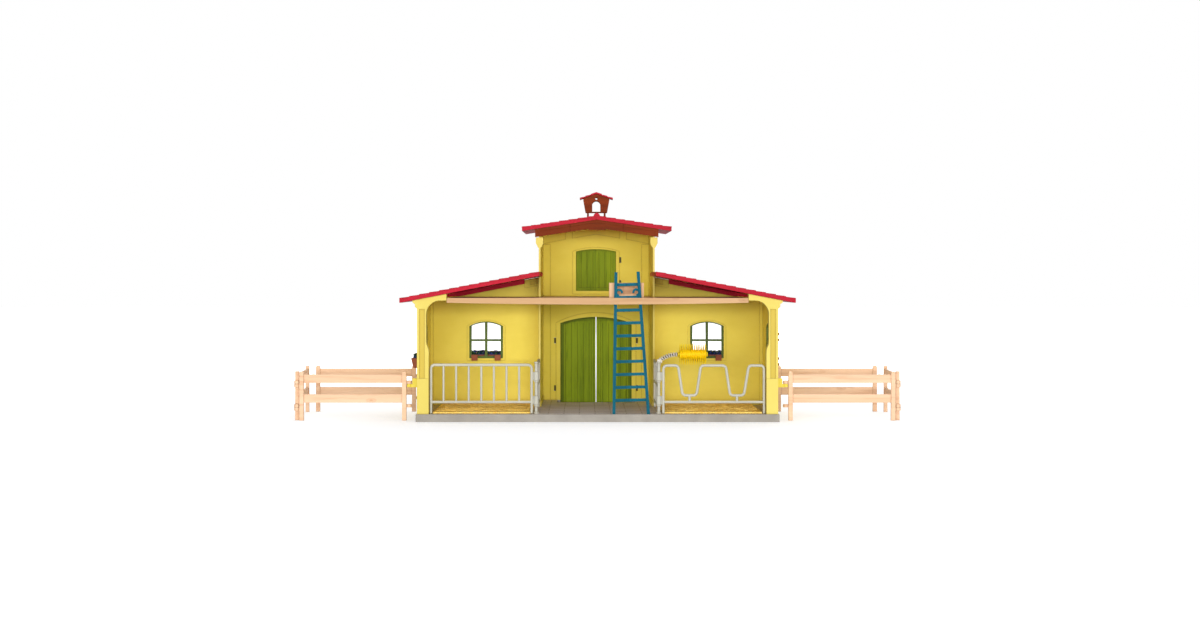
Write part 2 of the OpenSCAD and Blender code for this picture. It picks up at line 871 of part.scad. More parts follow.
module birdhouse_roof() {
    slope = tiles(0, 23.4, 3, bird_top, bird_fall);
    color(red)
        across(bird_y - 3, bird_d + 6)
            polygon(concat(
                [[0, bird_top]],
                [for (i = [1 : len(slope) - 1]) slope[i]],
                [[23.4, bird_top - 2.4 - 23.4 * bird_fall], [0, bird_top - 2.4]],
                [[-23.4, bird_top - 2.4 - 23.4 * bird_fall]],
                [for (i = [len(slope) - 1 : -1 : 1]) [-slope[i].x, slope[i].y]]
            ));
}

// ---------- Stalls ----------

knuckle_h = 11;
knuckles = [22.2, 53.6];

module rod_y(x, y0, y1, z, r) {
    translate([x, y0, z])
        rotate([-90, 0, 0])
            cylinder(h = y1 - y0, r = r);
}

module partition() {
    y1 = reach_y - seat;
    color(grey)
        union() {
            // Front post with a flange at its foot and a collar under each knuckle
            translate([bay_x, gate_y, base_h])
                cylinder(h = gate_h - base_h + 1.6, r = stall_post_r);
            translate([bay_x, gate_y, base_h])
                cylinder(h = 2, r = 3.4);
            for (z = knuckles)
                translate([bay_x, gate_y, z - seat - 1.8])
                    cylinder(h = 1.8, r = 3);
            translate([bay_x, gate_y, gate_h + 0.6])
                cylinder(h = 1.6, r = 2.8);
            for (z = [gate_h - 1.7, 46, 19])
                rod_y(bay_x, gate_y, y1 - 3, z, tube_r);
            // Rear post, foot strap and the plate against the bay's wall
            translate([bay_x - 1.6, y1 - 4.4, 17.4])
                cube([3.2, 4.4, gate_h - 17.4]);
            for (y = [gate_y + 38, gate_y + 76])
                translate([bay_x, y, 19])
                    cylinder(h = gate_h - 20.7, r = tube_r - 0.3);
            translate([bay_x - 1.2, y1 - 6, base_h])
                cube([2.4, 6, 8]);
        }
}

// Bored knuckles of a gate, round the front post
module gate_knuckles() {
    for (z = knuckles)
        difference() {
            union() {
                translate([bay_x, gate_y, z])
                    cylinder(h = knuckle_h, r = 3.4);
                translate([bay_x, gate_y - 1.1, z])
                    cube([6, 2.2, knuckle_h]);
            }
            translate([bay_x, gate_y, z - 1])
                cylinder(h = knuckle_h + 2, r = stall_post_r + run_gap);
        }
}

gate_x0 = bay_x + 5.9;
gate_x1 = side_x - post_w - 2.4;
gate_foot = base_h + 0.5;

module gate_left() {
    z1 = gate_h - tube_r;
    color(grey)
        mirror([1, 0, 0])
            union() {
                gate_knuckles();
                translate([0, gate_y, 0])
                    rotate([90, 0, 0])
                        bent_tube([[gate_x0, gate_foot], [gate_x0, z1], [gate_x1, z1], [gate_x1, gate_foot]],
                            tube_r, bend_r);
                translate([gate_x0, gate_y, rail_z])
                    rotate([0, 90, 0])
                        cylinder(h = gate_x1 - gate_x0, r = tube_r - 0.1);
                for (i = [1 : gate_bars])
                    translate([gate_x0 + (gate_x1 - gate_x0) * i / (gate_bars + 1), gate_y, rail_z])
                        cylinder(h = z1 - rail_z, r = tube_r - 0.45);
            }
}

module gate_right() {
    z1 = gate_h - tube_r - 0.8;
    z0 = rail_z + 8.6;
    w = gate_x1 - gate_x0;
    // Shares of the width at which the top tube turns down and up
    turns = [0.147, 0.191, 0.329, 0.373, 0.619, 0.663, 0.799, 0.848];
    path = [for (i = [0 : 7]) [gate_x0 + w * turns[i], (i % 4 == 0 || i % 4 == 3) ? z1 : z0]];
    color(grey)
        union() {
            gate_knuckles();
            translate([0, gate_y, 0])
                rotate([90, 0, 0])
                    bent_tube(concat([[gate_x0, gate_foot], [gate_x0, z1]], path,
                        [[gate_x1, z1], [gate_x1, gate_foot]]), tube_r, bend_r);
            translate([gate_x0, gate_y, rail_z])
                rotate([0, 90, 0])
                    cylinder(h = w, r = tube_r - 0.1);
            for (i = [0, 4])
                translate([gate_x0 + w * (turns[i + 1] + turns[i + 2]) / 2, gate_y, rail_z])
                    cylinder(h = z0 - rail_z, r = tube_r - 0.1);
        }
}

// ---------- Brush ----------

arm_r = 41;
arm_a = 37.6;
arm_x = bay_x + 1.5;
arm_z = gate_h + 2.6;
axle_x = arm_x + arm_r * sin(arm_a);
axle_z = arm_z + arm_r * (1 - cos(arm_a));

module brush_arm() {
    color(grey)
        union() {
            difference() {
                union() {
                    rod_y(bay_x, brush_y - 4, brush_y + 4, gate_h - 1.7, 3.4);
                    translate([bay_x - 1.2, brush_y - 2.6, gate_h])
                        cube([6.4, 5.2, 4.6]);
                }
                rod_y(bay_x, brush_y - 5, brush_y + 5, gate_h - 1.7, tube_r + 0.05);
            }
            // Ribbed neck
            translate([axle_x, brush_y, axle_z - arm_r])
                rotate([90, 0, 0])
                    rotate([0, 0, 90]) {
                        rotate_extrude(angle = arm_a)
                            translate([arm_r, 0])
                                circle(1.7);
                        for (i = [1 : 8])
                            rotate([0, 0, (i + 0.2) * arm_a / 8.6 - 1.5])
                                translate([arm_r, 0, 0])
                                    rotate([90, 0, 0])
                                        translate([0, 0, -0.8])
                                            cylinder(h = 1.6, r = 3.1);
                    }
            // Axle and its end cap
            translate([axle_x - 0.4, brush_y, axle_z])
                rotate([0, 90, 0]) {
                    cylinder(h = brush_l + 3.6, r = 1.6);
                    cylinder(h = 1.4, r = 3.2);
                    translate([0, 0, brush_l + 2.2])
                        cylinder(h = 1.6, r = 2.8);
                }
        }
}

sleeve_t = 1.2;

module brush_core() {
    color([0.98, 0.80, 0.05])
        translate([axle_x + 1.4, brush_y, axle_z])
            rotate([0, 90, 0])
                difference() {
                    cylinder(h = brush_l, r = brush_core - sleeve_t - 0.1);
                    translate([0, 0, -1])
                        cylinder(h = brush_l + 2, r = 1.6 + run_gap);
                }
}

// Sleeve of bristles: slim three-sided spokes, each ring half a step round from the last
module brush_bristles() {
    color([0.98, 0.80, 0.05])
        translate([axle_x + 1.4, brush_y, axle_z])
            rotate([0, 90, 0])
                resize([2 * brush_r, 2 * brush_r, brush_l]) {
                    difference() {
                        cylinder(h = brush_l, r = brush_core, $fn = 52);
                        translate([0, 0, -1])
                            cylinder(h = brush_l + 2, r = brush_core - sleeve_t + 0.1, $fn = 52);
                    }
                    for (k = [0 : brush_rings - 1], i = [0 : brush_spokes - 1])
                        rotate([0, 0, (i + (k % 2) / 2) * 360 / brush_spokes])
                            translate([brush_core - 0.4, 0, (k + 0.5) * brush_l / brush_rings])
                                rotate([0, 90, 0])
                                    linear_extrude(brush_r - brush_core + 0.4, scale = 0.7)
                                        circle(0.55, $fn = 3);
                }
}

// ---------- Doors ----------

// Moving half of a door hinge: a strap on the leaf that ends in a pin through the ear
module hinge_strap(x, z, reach) {
    pin_y = door_y + wall_t + 3.5;
    leaf_y = door_y + 0.6 + leaf_t;
    for (dz = [-3, 7.6])
        translate([x - reach, pin_y - 1.5, z + dz])
            cube([reach, 3, 2.7]);
    for (dz = [-3, 7.6])
        translate([x - reach, leaf_y - 1, z + dz])
            cube([reach - 4.4, pin_y + 1.5 - leaf_y + 1, 2.7]);
    translate([x, pin_y, z - 3])
        cylinder(h = 13.3, r = pin_r);
    for (dz = [-3, 7.6])
        translate([x, pin_y, z + dz])
            cylinder(h = 2.7, r = 2.4);
}

// Plank leaf inside an outline, with a frame round its edge and three ledges outside
module leaf(x0, x1, z0, z1, ledges) {
    y0 = door_y + 0.6;
    n = floor((x1 - x0) / plank_w);
    difference() {
        across(y0, leaf_t)
            children(0);
        // Sunk planks inside and outside
        for (y = [y0 - 1, y0 + leaf_t - 0.7])
            across(y, 1.7)
                children(1);
        // Joints between the planks
        for (i = [1 : n - 1])
            translate([x0 + i * (x1 - x0) / n - 0.35, y0 + 0.6, z0 + leaf_rim])
                cube([0.7, 0.6, z1 - z0 - leaf_rim]);
    }
    for (z = ledges)
        translate([x0 + 2, y0 + leaf_t - 0.8, z - 3])
            cube([x1 - x0 - 4, 1.1, 6]);
}

module barn_door() {
    fit = 0.5;
    x0 = leaf_gap / 2;
    x1 = door_w / 2 - fit;
    color(green)
        union() {
            intersection() {
                leaf(x0, x1, door_lift, door_side, [30, 97]) {
                    intersection() {
                        door_hole(-fit);
                        translate([x0, door_lift])
                            square([x1, 200]);
                    }
                    intersection() {
                        door_hole(-fit - leaf_rim);
                        translate([x0 + leaf_rim, door_lift + leaf_rim])
                            square([x1, 200]);
                    }
                }
                translate([x0, door_y - 5, door_lift])
                    cube([x1, 20, 140]);
            }
            for (z = door_ears)
                hinge_strap(door_w / 2 + 3, z, 14);
        }
}

module loft_door() {
    fit = 0.4;
    w = hay_w - 2 * fit;
    color(green)
        union() {
            leaf(-w / 2, w / 2, hay_z + fit, hay_z + hay_side - 1, [hay_z + 12.4, hay_z + hay_side - 12.6]) {
                hay_hole(-fit);
                hay_hole(-fit - leaf_rim);
            }
            for (z = hay_ears)
                hinge_strap(hay_w / 2 + 3, z, 12);
        }
}

// ---------- Ladder ----------

// Lays an outline of the upright ladder about its middle plane
module ladder_slab(t) {
    translate([0, t / 2, 0])
        rotate([90, 0, 0])
            linear_extrude(t)
                children();
}

module ladder() {
    taper = (ladder_w - ladder_top) / 2;
    rungs = floor((ladder_l - 16) / rung_step);
    // Half the width between the rails at a height z
    function inside(z) = ladder_w / 2 - taper * z / ladder_l - rail_w;
    hook_up = 18 + (rungs - 1.55) * rung_step;
    color([0.10, 0.40, 0.62])
        difference() {
            translate([ladder_x, ladder_y, base_h - 1])
                rotate([-ladder_lean, -ladder_sway, 0]) {
                    both_sides()
                        ladder_slab(rail_t)
                            polygon([
                                [inside(0), -1], [inside(0) + rail_w, -1],
                                [inside(ladder_l) + rail_w, ladder_l], [inside(ladder_l), ladder_l]
                            ]);
                    for (i = [0 : rungs - 1])
                        ladder_slab(rail_t - 0.6)
                            translate([-inside(18 + i * rung_step) - 1, 19.2 + i * rung_step - rung_h / 2])
                                square([2 * inside(18 + i * rung_step) + 2, rung_h]);
                    // Hooks between the rails, over the edge of the hatch
                    both_sides()
                        ladder_slab(rail_t - 0.4)
                            translate([inside(hook_up) - 2.4, hook_up])
                                difference() {
                                    circle(5.2);
                                    circle(2.4);
                                    translate([-8, -8])
                                        square([8, 7.2]);
                                }
                }
            // Feet cut level with the base
            translate([-100, front_y - 50, base_h - 20])
                cube([300, 100, 20]);
        }
}

// ---------- Fences ----------

// Panel from its own hinge at the origin to the next hinge at x = panel_l
module fence_panel() {
    gap = 3.8;
    color(peach)
        difference() {
            union() {
                for (x = [gap, panel_l - gap - fence_post])
                    across(-fence_t / 2, fence_t)
                        polygon([
                            [x, 0], [x + fence_post, 0], [x + fence_post, fence_h - 1.5],
                            [x + fence_post - 1.2, fence_h], [x + 1.2, fence_h], [x, fence_h - 1.5]
                        ]);
                for (z = [23.4, 49.3])
                    translate([gap, -fence_rail_t / 2, z])
                        cube([panel_l - 2 * gap, fence_rail_t, fence_rail]);
                for (z = [17.3, 48.3]) {
                    translate([0, 0, z])
                        cylinder(h = 4, r = 3.4);
                    translate([0, -1.6, z])
                        cube([gap + 1, 3.2, 4]);
                }
                for (z = [13, 44]) {
                    translate([panel_l, 0, z])
                        cylinder(h = 4, r = 3.4);
                    translate([panel_l, 0, z])
                        cylinder(h = 8.3, r = 1.6);
                    translate([panel_l - gap - 1, -1.6, z])
                        cube([gap + 1, 3.2, 4]);
                }
            }
            translate([0, 0, 10])
                cylinder(h = 50, r = 1.6 + run_gap);
        }
}

corner_x = side_x + 12.4 + panel_l;

module fence_front() {
    translate([side_x + 12.4, front_y + 26, 0])
        fence_panel();
}

module fence_end() {
    translate([corner_x, front_y + 26, 0])
        rotate([0, 0, 90 - fence_splay])
            fence_panel();
}

module fence_back() {
    translate([side_x + 15, wing_y + 9, 0])
        fence_panel();
}

// ---------- Hooks ----------

module tack_hooks() {
    color([0.60, 0.62, 0.63])
        for (z = [72, 104])
            translate([side_x, front_y + 20, z]) {
                translate([0, -2.5, -2])
                    cube([0.9, 5, 14]);
                for (dz = [1.4, 9]) {
                    translate([0.5, 0, dz])
                        rotate([0, 90, 0])
                            cylinder(h = 3, r = 1, $fn = 24);
                    translate([2.6, 0, dz])
                        cylinder(h = 2.4, r = 0.9, $fn = 24);
                }
            }
}

// ---------- Assembly ----------

module left() {
    mirror([1, 0, 0])
        children();
}

base_plate();
left() straw_mat();  // straw_mat_left
straw_mat();  // straw_mat_right
left() side_wall();  // side_wall_left
side_wall();  // side_wall_right
left() wing_wall();  // wing_wall_left
wing_wall();  // wing_wall_right
bay_shell();
left() at_wing_window() window_frame();  // window_left
at_wing_window() window_frame();  // window_right
left() at_side_window() window_frame();  // window_side_left
at_side_window() window_frame();  // window_side_right
left() at_wing_window() planter();  // planter_left
at_wing_window() planter();  // planter_right
left() at_side_window() planter();  // planter_side
left() at_wing_window() flowers();  // flowers_left
at_wing_window() flowers();  // flowers_right
left() at_side_window() flowers();  // flowers_side
loft_floor();
hay_crate();
left() wing_roof();  // wing_roof_left
wing_roof();  // wing_roof_right
tower_roof();
gable_truss();
birdhouse();
birdhouse_roof();
left() partition();  // partition_left
partition();  // partition_right
gate_left();
gate_right();
brush_arm();
brush_core();
brush_bristles();
left() barn_door();  // barn_door_left
barn_door();  // barn_door_right
loft_door();
ladder();
tack_hooks();
left() fence_front();  // fence_front_left
fence_front();  // fence_front_right
left() fence_end();  // fence_end_left
fence_end();  // fence_end_right
left() fence_back();  // fence_back_left
fence_back();  // fence_back_right
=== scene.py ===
"""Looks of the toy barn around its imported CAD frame. Metres, in the frame's own axes."""
import json
import math
import random

import bpy
from mathutils import Matrix, Vector
from mathutils.bvhtree import BVHTree


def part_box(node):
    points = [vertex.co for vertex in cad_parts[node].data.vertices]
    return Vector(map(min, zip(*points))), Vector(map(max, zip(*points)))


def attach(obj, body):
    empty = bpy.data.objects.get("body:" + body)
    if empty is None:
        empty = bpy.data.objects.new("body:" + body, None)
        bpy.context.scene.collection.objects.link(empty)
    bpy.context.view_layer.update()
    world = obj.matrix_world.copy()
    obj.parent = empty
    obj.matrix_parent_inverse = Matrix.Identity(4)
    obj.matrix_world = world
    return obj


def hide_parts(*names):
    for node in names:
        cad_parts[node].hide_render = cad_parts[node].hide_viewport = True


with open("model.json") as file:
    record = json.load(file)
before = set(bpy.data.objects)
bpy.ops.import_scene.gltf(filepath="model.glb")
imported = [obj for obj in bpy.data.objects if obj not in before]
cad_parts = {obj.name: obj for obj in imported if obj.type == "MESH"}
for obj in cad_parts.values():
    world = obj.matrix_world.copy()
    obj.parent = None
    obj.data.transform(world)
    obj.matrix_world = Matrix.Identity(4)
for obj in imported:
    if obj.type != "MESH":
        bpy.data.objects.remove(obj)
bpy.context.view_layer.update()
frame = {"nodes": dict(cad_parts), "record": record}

NODES = frame["nodes"]
BODY_OF = {n: b for b, ns in frame["record"]["behaviour"]["bodies"].items() for n in ns}
MM = 0.001
SIDES = (("left", -1), ("right", 1))

# Places on the CAD, in millimetres. A slope falls outward from x0 to x1, in rows of tiles.
BASE_TOP, BASE_FRONT, STALL_X = 6.2, -126.2, 81.5
BAY_FRONT = 7.2
POST_INNER, POST_FRONT, POST_BACK, POST_FOOT = 219.8, -127.0, -114.8, 56.0
LEAF_ARCH = (53.3, 122.2, 10.2)  # half width, height at the sides and rise of the doorway's arch
PLANK_WIDTH = 8.0
NECK_CENTRE, NECK_ARC, NECK_CORE = (106.516, -100.0, 45.716), 41.0, 2.85
NECK_START, NECK_AXLE = 84.5, 105.8
DOOR_HINGE_X, DOOR_HINGES_Z = 59.75, (27.35, 96.65)
LOFT_HINGE_X, LOFT_HINGES_Z = 35.45, (180.35, 214.15)
WING_SLOPE = {"x0": 76, "x1": 257.6, "y0": -129.9, "y1": 49.4,
              "rows": 14, "top": 195.9, "fall": 0.193}
TOWER_SLOPE = {"x0": 0, "x1": 103, "y0": -4.9, "y1": 154.4,
               "rows": 8, "top": 273.8, "fall": 0.152}
ROOF_THICK = 5.8

# Screen colours, 0 to 255: a low and a high tone, and where it has one a dark line.
WALL = (235, 215, 84), (245, 225, 96)
BAY_WALL = (236, 217, 80), (246, 227, 92)
# Painted shade: a paler, darker wall tone for the front faces, which the lamps light most.
WALL_FRONT_SHADE = (219, 199, 96), (229, 210, 108)
# The second colour is painted shade for the posts' sunk panels.
WALL_FOOT, POST_PANEL_SHADE = (205, 178, 96), (204, 178, 72)
# The straw's third colour is painted shade between the stalks.
STRAW = (250, 206, 92), (255, 226, 130), (226, 172, 68)
WINDOW = (72, 92, 26), (86, 108, 34), (48, 64, 18)
# The colour after the door's three is painted shade along the arch's border, with a dark seam line.
DOOR, DOOR_SHADE_AND_SEAM = ((122, 144, 4), (146, 167, 14), (92, 112, 2)), (56, 78, 10)
PEACH = (232, 190, 154), (240, 202, 168), (206, 154, 116)
# The loft and crate take darker copies of the peach: painted shade under the tower roof.
LOFT_SHADED_PEACH = (196, 154, 110), (206, 166, 124), (170, 122, 82)
CRATE_SHADED_PEACH = (210, 164, 122), (224, 182, 140), (168, 112, 74)
PLANTER = (136, 66, 36), (152, 78, 44), (96, 42, 24)
ROOF = (164, 2, 30), (188, 8, 42), (128, 2, 24)
TRUSS = (112, 40, 2), (130, 50, 5), (84, 32, 8)
LADDER = (2, 84, 102), (8, 98, 118), (1, 58, 76)
GATE = (182, 180, 166), (198, 196, 183)
# The hinge ends' dark olive is painted shade in the door slots.
HINGE_SLOT_SHADE = (84, 82, 36), (100, 98, 46)
BRUSH = (244, 208, 0), (255, 222, 20)
BRISTLE = (250, 212, 0), (255, 230, 10)
# The neck's dark colour is painted shade between its ribs.
NECK_RIB, NECK_GAP_SHADE, AXLE = ((196, 188, 178), (212, 205, 196)), (48, 42, 32), (240, 205, 10)
LEAF = (34, 74, 36), (62, 108, 50)
PETAL = (34, 42, 112), (58, 68, 150)
EYE = (214, 176, 60), (236, 204, 96)
BED_GREEN = (22, 58, 34), (48, 92, 44)
BED_BLUE = (22, 32, 92), (50, 62, 140)
BASE_RIM = (150, 144, 136), (166, 160, 151)
PAVING, MORTAR = ((208, 202, 204), (226, 221, 224)), (150, 141, 142)
PAVING_STREAK, PAVING_WORN, EARTH = (158, 147, 149), (176, 165, 166), (176, 158, 128)
# Painted shade: the colour that ambient occlusion multiplies into crevices.
CREVICE_SHADE = (0.32, 0.22, 0.10, 1)  # linear

LAMPS = {  # place, aim, size, watts, colour
    "key": ((-0.6, -3.1, 1.2), (0, 0, 0.12), (2.6, 1.6), 17, (1, 0.99, 0.96)),
    "front": ((0.1, -3.4, 0.34), (0, 0, 0.15), (5.0, 0.5), 104, (1, 0.995, 0.97)),
    "top": ((0.3, 0.2, 2.7), (0, 0, 0.1), (2.6, 2.6), 20, (1, 1, 1)),
    "back": ((0.6, 3.0, 1.7), (0, 0, 0.12), (2.6, 1.6), 34, (1, 0.99, 0.96)),
}


# ---------- Materials ----------

def rgb(r, g, b):
    """A screen colour, 0 to 255, as Blender's linear colour."""
    def lin(v):
        v /= 255
        return v / 12.92 if v <= 0.04045 else ((v + 0.055) / 1.055) ** 2.4
    return (lin(r), lin(g), lin(b), 1)


def add_node(tree, kind, ins=None, **props):
    """A shader node, with each input set to a value or linked to an output."""
    node = tree.nodes.new(kind)
    for key, value in props.items():
        setattr(node, key, value)
    for key, value in (ins or {}).items():
        if hasattr(value, "links"):
            tree.links.new(value, node.inputs[key])
        else:
            node.inputs[key].default_value = value
    return node


class Shade:
    """One procedural material: a Principled shader and short words for the nodes that feed it."""

    def __init__(self, name, rough, specular=0.22):
        self.mat = bpy.data.materials.new(name)
        self.mat.use_nodes = True
        self.tree = self.mat.node_tree
        self.bsdf = self.tree.nodes["Principled BSDF"]
        self.bsdf.inputs["Roughness"].default_value = rough
        self.bsdf.inputs["Specular IOR Level"].default_value = specular
        self.at = self.node("ShaderNodeTexCoord").outputs["Object"]

    def node(self, kind, ins=None, **props):
        return add_node(self.tree, kind, ins, **props)

    def stretch(self, scale, shift=(0, 0, 0)):
        return self.node("ShaderNodeMapping",
                         {"Vector": self.at, "Scale": scale, "Location": shift}).outputs[0]

    def noise(self, scale, detail, stretch=None, distort=0.0):
        at = self.stretch(stretch) if stretch else self.at
        return self.node("ShaderNodeTexNoise", {
            "Vector": at, "Scale": scale, "Detail": detail,
            "Roughness": 0.55, "Distortion": distort,
        }).outputs["Fac"]

    def math(self, op, a, b=0.0):
        return self.node("ShaderNodeMath", {0: a, 1: b}, operation=op).outputs[0]

    def times(self, first, *others):
        for other in others:
            first = self.math("MULTIPLY", first, other)
        return first

    def length(self, a, b):
        return self.math("SQRT", self.math("ADD", self.times(a, a), self.times(b, b)))

    def axis(self, letter):
        return self.node("ShaderNodeSeparateXYZ", {0: self.at}).outputs[letter]

    def span(self, value, low, high, to_low=0.0, to_high=1.0):
        return self.node("ShaderNodeMapRange",
                         {0: value, 1: low, 2: high, 3: to_low, 4: to_high}).outputs[0]

    def mix(self, fac, a, b, blend="MIX"):
        return self.node("ShaderNodeMix", {0: fac, 6: a, 7: b},
                         data_type="RGBA", blend_type=blend).outputs[2]

    def tones(self, fac, low, high):
        return self.mix(fac, rgb(*low), rgb(*high))

    def island(self):
        return self.node("ShaderNodeNewGeometry").outputs["Random Per Island"]

    def finish(self, colour, height, depth, strength, round_edges=0.0, crevice=0.0, reach=0.003):
        """Closes the material: painted shade in crevices, rounded edges and the bump of height."""
        # Painted shade: crevices that ambient occlusion finds darken towards a brown.
        if crevice:
            opening = self.node("ShaderNodeAmbientOcclusion", {"Distance": reach}, samples=4)
            crevice_shade = self.times(self.span(opening.outputs["AO"], 0.96, 0.5), crevice)
            colour = self.mix(crevice_shade, colour, CREVICE_SHADE, "MULTIPLY")
        bump = {"Height": height, "Distance": depth, "Strength": strength}
        if round_edges:
            bevel = self.node("ShaderNodeBevel", {"Radius": round_edges}, samples=4)
            bump["Normal"] = bevel.outputs[0]
        normal = self.node("ShaderNodeBump", bump).outputs[0]
        self.tree.links.new(colour, self.bsdf.inputs["Base Color"])
        self.tree.links.new(normal, self.bsdf.inputs["Normal"])
        return self.mat


def along_axis(axis, squeeze):
    """A texture scale that draws a pattern out along one axis."""
    return tuple(squeeze if letter == axis else 1 for letter in "XYZ")


def plastic(name, low, high, rough):
    """Moulded plastic: soft cloudy colour, fine matt skin and slightly rounded edges."""
    s = Shade(name, rough)
    colour = s.tones(s.span(s.noise(22, 4), 0.32, 0.68), low, high)
    return s.finish(colour, s.noise(700, 2), 0.00012, 0.35, 0.0005, crevice=0.6, reach=0.002)


def wall(name, low, high, front=None, panels=False, crevice=0.4):
    """Painted render: trowel marks and fine grit, a little darker towards the foot. In front of y =
    front it is paler and darker, painted shade on the faces that the lamps light most, and with
    panels the posts' sunk panels get painted shade."""
    s = Shade(name, 0.5, specular=0.14)
    x, y, z = s.math("ABSOLUTE", s.axis("X")), s.axis("Y"), s.axis("Z")
    clouds = s.span(s.noise(14, 5, distort=0.4), 0.3, 0.7)
    trowel = s.span(s.noise(60, 4, stretch=(1, 1, 2.2)), 0.35, 0.75)
    colour = s.tones(clouds, low, high)
    colour = s.mix(s.times(trowel, 0.12), colour, rgb(low[0] - 20, low[1] - 26, low[2] - 34))
    foot = s.span(z, 0.034, 0.010)
    colour = s.mix(s.times(foot, 0.12), colour, rgb(*WALL_FOOT))
    # Painted shade: a paler, darker tone in front of y = front, where the lamps light most.
    if front is not None:
        colour = s.mix(s.math("LESS_THAN", y, front * MM), colour, s.tones(clouds, *WALL_FRONT_SHADE))
    # Painted shade in the posts' sunk panels.
    if panels:
        sunk = s.times(s.math("GREATER_THAN", y, (POST_FRONT + 0.5) * MM),
                       s.math("LESS_THAN", y, (POST_FRONT + 1.5) * MM))
        inner_edge = s.span(x, (POST_INNER + 4.8) * MM, (POST_INNER + 5.4) * MM)
        outer_edge = s.span(x, (POST_INNER + 12.6) * MM, (POST_INNER + 12.0) * MM)
        lower_edge = s.span(z, (POST_FOOT + 0.5) * MM, (POST_FOOT + 1.5) * MM)
        panel_shade = s.times(sunk, inner_edge, outer_edge, lower_edge)
        colour = s.mix(s.times(panel_shade, 0.9), colour, rgb(*POST_PANEL_SHADE))
    grit = s.math("ADD", s.noise(900, 3), s.times(s.noise(120, 3), 0.9))
    return s.finish(colour, grit, 0.00028, 0.4, 0.0006, crevice=crevice, reach=0.0022)


def wood(name, low, high, dark, along, knots=True, mark=0.5, specular=0.22):
    """Moulded wood: fibres and rings that run along one axis, with a knot here and there."""
    s = Shade(name, 0.5, specular)
    grain = along_axis(along, 0.06)
    fibre = s.noise(230, 5, stretch=grain, distort=0.6)
    broad = s.noise(230 / 6, 3, stretch=grain, distort=1.4)
    colour = s.tones(s.span(broad, 0.34, 0.66), low, high)
    line = s.span(fibre, 0.52, 0.70)
    colour = s.mix(s.times(line, mark), colour, rgb(*dark))
    height = s.math("SUBTRACT", 1.0, line)
    if knots:
        at = s.stretch(along_axis(along, 0.45))
        cell = s.node("ShaderNodeTexVoronoi", {"Vector": at, "Scale": 46}).outputs["Distance"]
        ring = s.math("SINE", s.times(cell, 60))
        knot = s.times(s.span(cell, 0.17, 0.07), s.span(ring, -0.6, 1.0, 0.45, 1.0))
        colour = s.mix(s.times(knot, 0.7), colour, rgb(*dark))
        height = s.math("SUBTRACT", height, s.times(knot, 0.5))
    return s.finish(colour, height, 0.0002, 0.55, 0.0004, crevice=0.45, reach=0.002)


def planks(name, low, high, dark, arch=None):
    """Upright boards: each its own tone, with fibres running up it. With an arch they have a dark
    border inside it, painted shade where the reveal shades the leaf, and a dark seam beside the
    closing edges."""
    s = Shade(name, 0.48, specular=0.1)
    x = s.axis("X")
    board = s.math("FLOOR", s.math("DIVIDE", x, PLANK_WIDTH * MM))
    own = s.node("ShaderNodeTexWhiteNoise", {"W": board}, noise_dimensions="1D").outputs["Value"]
    fibre = s.noise(260, 5, stretch=(1, 1, 0.07), distort=0.8)
    broad = s.noise(46, 3, stretch=(1, 1, 0.1), distort=1.0)
    tone = s.math("ADD", s.times(own, 0.5), s.times(broad, 0.6))
    colour = s.tones(s.span(tone, 0.25, 0.85), low, high)
    line = s.span(fibre, 0.50, 0.70)
    colour = s.mix(s.times(line, 0.55), colour, rgb(*dark))
    if arch:
        half, sides, rise = (v * MM for v in arch)
        radius = (half * half + rise * rise) / (2 * rise)
        out = s.length(x, s.math("SUBTRACT", s.axis("Z"), sides + rise - radius))
        across = s.math("ABSOLUTE", x)
        curve = s.span(out, radius - 0.0056, radius - 0.0034)
        upright = s.span(across, half - 0.0070, half - 0.0048)
        seam = s.times(s.span(across, 0.0026, 0.0032), s.span(across, 0.0044, 0.0038), 0.8)
        # Painted shade along the border inside the arch, with a dark seam beside the closing edges.
        shade_and_seam = s.math("MAXIMUM", s.math("MAXIMUM", curve, upright), seam)
        colour = s.mix(s.times(shade_and_seam, 0.6), colour, rgb(*DOOR_SHADE_AND_SEAM))
    height = s.math("SUBTRACT", 1.0, line)
    return s.finish(colour, height, 0.0003, 0.6, 0.0004, crevice=0.75, reach=0.0042)


def tiled(name, low, high, dark):
    """Glazed clay look: every tile its own red, with fine pits."""
    s = Shade(name, 0.5, specular=0.15)
    tone = s.math("ADD", s.times(s.island(), 0.65), s.times(s.noise(30, 4), 0.5))
    colour = s.tones(s.span(tone, 0.2, 0.95), low, high)
    pits = s.span(s.noise(520, 4), 0.56, 0.72)
    colour = s.mix(s.times(pits, 0.35), colour, rgb(*dark))
    return s.finish(colour, s.math("SUBTRACT", s.noise(420, 4), pits), 0.0002, 0.45, 0.0004)


